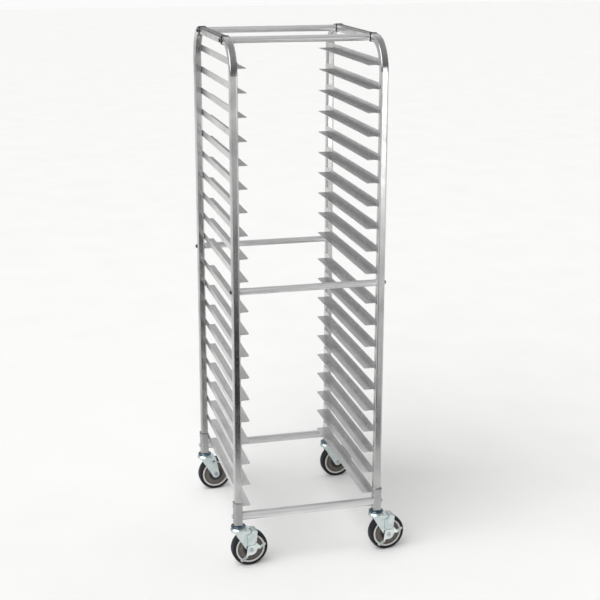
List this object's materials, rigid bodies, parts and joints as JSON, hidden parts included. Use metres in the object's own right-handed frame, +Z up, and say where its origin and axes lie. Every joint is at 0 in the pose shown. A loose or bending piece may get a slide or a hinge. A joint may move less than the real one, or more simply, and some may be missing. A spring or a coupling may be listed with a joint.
{
  "type": "sheet pan rack",
  "caption": "Tall open-sided sheet pan rack on swivel casters: two bent-tube side frames, angle runners that pans slide onto, round cross bars, front casters with brakes.",
  "frame": {"origin": "middle of the whole rack's footprint on the floor, casters included", "axes": "+Z up, -Y is the front where the braked casters are, +X to the right"},
  "size_m": [0.617, 0.705, 1.778],
  "materials": {
    "extruded_aluminium_tube": "lightly polished extrusion",
    "aluminium_sheet": "mill finish sheet",
    "drawn_aluminium_bar": "drawn tube",
    "turned_aluminium": "turned",
    "aluminium_rivet": "cold headed",
    "black_nylon": "moulded",
    "black_oxide_steel": "black oxide",
    "zinc_washer": "zinc plated",
    "aluminium_socket": "formed and welded",
    "zinc_plated_steel": "bright zinc plate",
    "zinc_plated_lever": "bright zinc plate",
    "zinc_plated_bolt": "bright zinc plate",
    "sintered_steel": "sintered",
    "bearing_steel": "ground",
    "black_polypropylene": "moulded",
    "grey_polypropylene": "moulded",
    "black_rubber": "moulded tread"
  },
  "bodies": {
    "frame": {"bar_end_plugs": "turned_aluminium", "bolt_washers": "zinc_washer", "bottom_bar_bolts": "zinc_plated_bolt", "bottom_bar_front": "drawn_aluminium_bar", "bottom_bar_rear": "drawn_aluminium_bar", "caster_socket_front_left": "aluminium_socket", "caster_socket_front_right": "aluminium_socket", "caster_socket_rear_left": "aluminium_socket", "caster_socket_rear_right": "aluminium_socket", "caster_stems": "zinc_plated_steel", "cross_bar_bolts": "black_oxide_steel", "lower_runners_left": "aluminium_sheet", "lower_runners_right": "aluminium_sheet", "middle_bar_front": "drawn_aluminium_bar", "middle_bar_rear": "drawn_aluminium_bar", "rail_coupler_front_left": "black_nylon", "rail_coupler_front_right": "black_nylon", "rail_coupler_rear_left": "black_nylon", "rail_coupler_rear_right": "black_nylon", "socket_rivets": "aluminium_rivet", "swivel_balls": "bearing_steel", "swivel_races": "zinc_plated_steel", "top_bar_front": "drawn_aluminium_bar", "top_bar_rear": "drawn_aluminium_bar", "top_rail_left": "extruded_aluminium_tube", "top_rail_right": "extruded_aluminium_tube", "upper_runners_left": "aluminium_sheet", "upper_runners_right": "aluminium_sheet", "upright_front_left": "extruded_aluminium_tube", "upright_front_right": "extruded_aluminium_tube", "upright_rear_left": "extruded_aluminium_tube", "upright_rear_right": "extruded_aluminium_tube"},
    "swivel_front_left": {"axle_bolt_front_left": "zinc_plated_bolt", "axle_bush_front_left": "sintered_steel", "fork_front_left": "zinc_plated_steel", "thread_guards_front_left": "black_polypropylene"},
    "wheel_front_left": {"tyre_front_left": "black_rubber", "wheel_core_front_left": "grey_polypropylene"},
    "lever_front_left": {"brake_lever_front_left": "zinc_plated_lever"},
    "shoe_front_left": {"brake_shoe_front_left": "zinc_plated_steel"},
    "swivel_front_right": {"axle_bolt_front_right": "zinc_plated_bolt", "axle_bush_front_right": "sintered_steel", "fork_front_right": "zinc_plated_steel", "thread_guards_front_right": "black_polypropylene"},
    "wheel_front_right": {"tyre_front_right": "black_rubber", "wheel_core_front_right": "grey_polypropylene"},
    "lever_front_right": {"brake_lever_front_right": "zinc_plated_lever"},
    "shoe_front_right": {"brake_shoe_front_right": "zinc_plated_steel"},
    "swivel_rear_left": {"axle_bolt_rear_left": "zinc_plated_bolt", "axle_bush_rear_left": "sintered_steel", "fork_rear_left": "zinc_plated_steel", "thread_guards_rear_left": "black_polypropylene"},
    "wheel_rear_left": {"tyre_rear_left": "black_rubber", "wheel_core_rear_left": "grey_polypropylene"},
    "swivel_rear_right": {"axle_bolt_rear_right": "zinc_plated_bolt", "axle_bush_rear_right": "sintered_steel", "fork_rear_right": "zinc_plated_steel", "thread_guards_rear_right": "black_polypropylene"},
    "wheel_rear_right": {"tyre_rear_right": "black_rubber", "wheel_core_rear_right": "grey_polypropylene"}
  },
  "joints": [
    {"name": "caster_swivel_front_left", "type": "hinge", "parent": "frame", "child": "swivel_front_left", "pos_m": [-0.28152, -0.31717, 0.1426], "axis": [0, 0, 1], "continuous": true},
    {"name": "wheel_spin_front_left", "type": "hinge", "parent": "swivel_front_left", "child": "wheel_front_left", "pos_m": [-0.24367, -0.31386, 0.0625], "axis": [-0.0872, 0.9962, 0], "continuous": true},
    {"name": "brake_lever_front_left", "type": "hinge", "parent": "swivel_front_left", "child": "lever_front_left", "pos_m": [-0.24367, -0.31386, 0.0625], "axis": [-0.0872, 0.9962, 0], "range_deg": [0, 50]},
    {"name": "brake_shoe_front_left", "type": "slide", "parent": "swivel_front_left", "child": "shoe_front_left", "axis": [0, 0, -1], "range_m": [0, 0.0033]},
    {"name": "caster_swivel_front_right", "type": "hinge", "parent": "frame", "child": "swivel_front_right", "pos_m": [0.20743, -0.31717, 0.1426], "axis": [0, 0, 1], "continuous": true},
    {"name": "wheel_spin_front_right", "type": "hinge", "parent": "swivel_front_right", "child": "wheel_front_right", "pos_m": [0.24528, -0.31386, 0.0625], "axis": [-0.0872, 0.9962, 0], "continuous": true},
    {"name": "brake_lever_front_right", "type": "hinge", "parent": "swivel_front_right", "child": "lever_front_right", "pos_m": [0.24528, -0.31386, 0.0625], "axis": [-0.0872, 0.9962, 0], "range_deg": [0, 50]},
    {"name": "brake_shoe_front_right", "type": "slide", "parent": "swivel_front_right", "child": "shoe_front_right", "axis": [0, 0, -1], "range_m": [0, 0.0033]},
    {"name": "caster_swivel_rear_left", "type": "hinge", "parent": "frame", "child": "swivel_rear_left", "pos_m": [-0.28152, 0.31783, 0.1426], "axis": [0, 0, 1], "continuous": true},
    {"name": "wheel_spin_rear_left", "type": "hinge", "parent": "swivel_rear_left", "child": "wheel_rear_left", "pos_m": [-0.24367, 0.32114, 0.0625], "axis": [-0.0872, 0.9962, 0], "continuous": true},
    {"name": "caster_swivel_rear_right", "type": "hinge", "parent": "frame", "child": "swivel_rear_right", "pos_m": [0.20743, 0.31783, 0.1426], "axis": [0, 0, 1], "continuous": true},
    {"name": "wheel_spin_rear_right", "type": "hinge", "parent": "swivel_rear_right", "child": "wheel_rear_right", "pos_m": [0.24528, 0.32114, 0.0625], "axis": [-0.0872, 0.9962, 0], "continuous": true}
  ],
  "couplings": [
    {"joint": "brake_shoe_front_left", "follows": "brake_lever_front_left", "m_per_rad": 0.003667},
    {"joint": "brake_shoe_front_right", "follows": "brake_lever_front_right", "m_per_rad": 0.003667}
  ]
}
